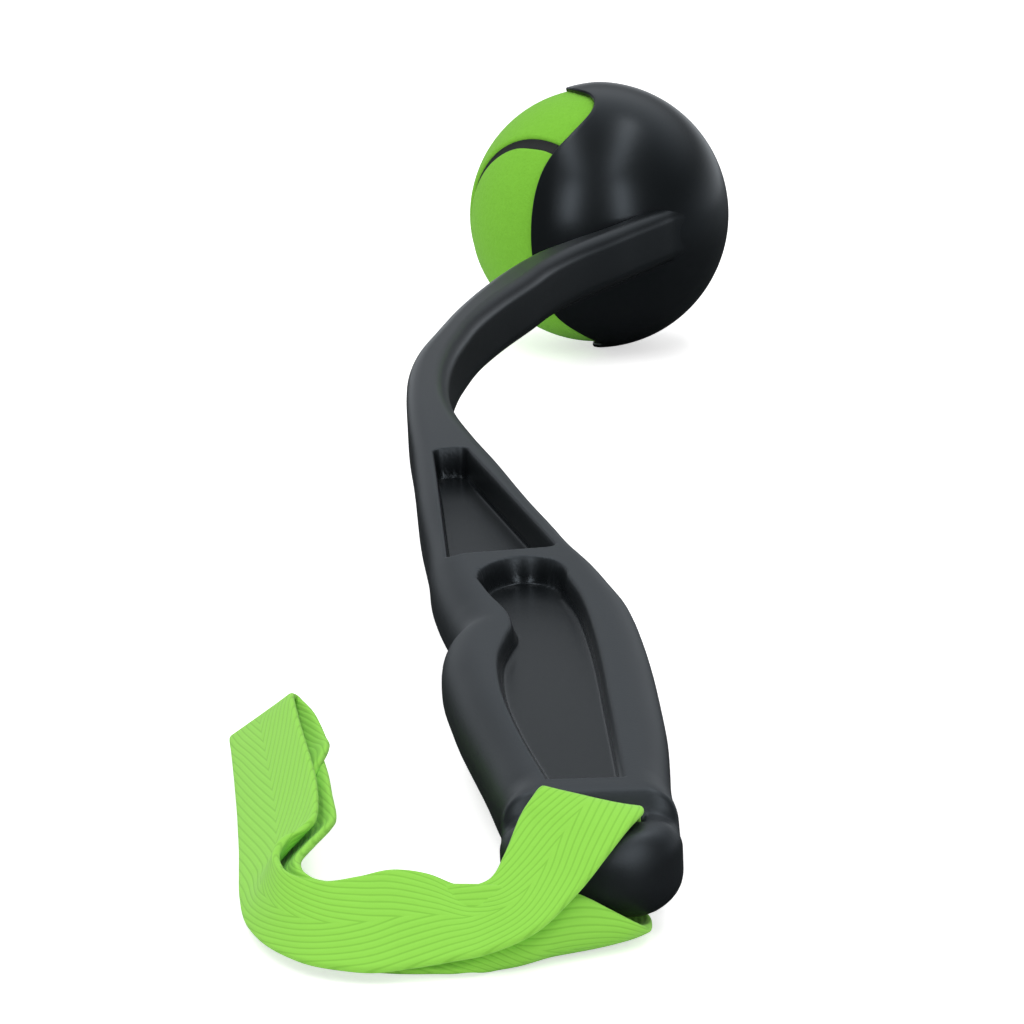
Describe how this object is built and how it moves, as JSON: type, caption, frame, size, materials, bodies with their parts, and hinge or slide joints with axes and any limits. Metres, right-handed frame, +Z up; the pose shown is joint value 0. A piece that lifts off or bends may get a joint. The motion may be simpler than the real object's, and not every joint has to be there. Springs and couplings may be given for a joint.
{
  "type": "dog ball launcher",
  "caption": "Hand launcher for a dog's tennis ball: a curved arm with an open cup holding a felt ball, a finger grip and a webbing wrist strap.",
  "frame": {"origin": "centre of the ball seat in the cup, with the launcher lying on the floor as in the picture", "axes": "+Y along the launcher from the butt to the cup, -X towards the throw side, +Z up from the floor"},
  "size_m": [0.0939, 0.4898, 0.0688],
  "materials": {
    "body_plastic": "satin, glossier on the cup",
    "strap_webbing": "herringbone weave",
    "strap_thread": "bar-tack stitching",
    "core_rubber": "matt",
    "ball_felt": "napped felt",
    "seam_rubber": "matt"
  },
  "bodies": {
    "launcher": {"launcher_body": "body_plastic", "wrist_strap": "strap_webbing", "strap_stitching": "strap_thread"},
    "ball": {"ball_core_front": "core_rubber", "ball_core_back": "core_rubber", "felt_panel_near": "ball_felt", "felt_panel_far": "ball_felt", "ball_seam": "seam_rubber"}
  },
  "joints": [
    {"name": "ball_release", "type": "slide", "parent": "launcher", "child": "ball", "axis": [-0.9397, 0.3415, -0.0213], "range_m": [0, 0.05]}
  ]
}
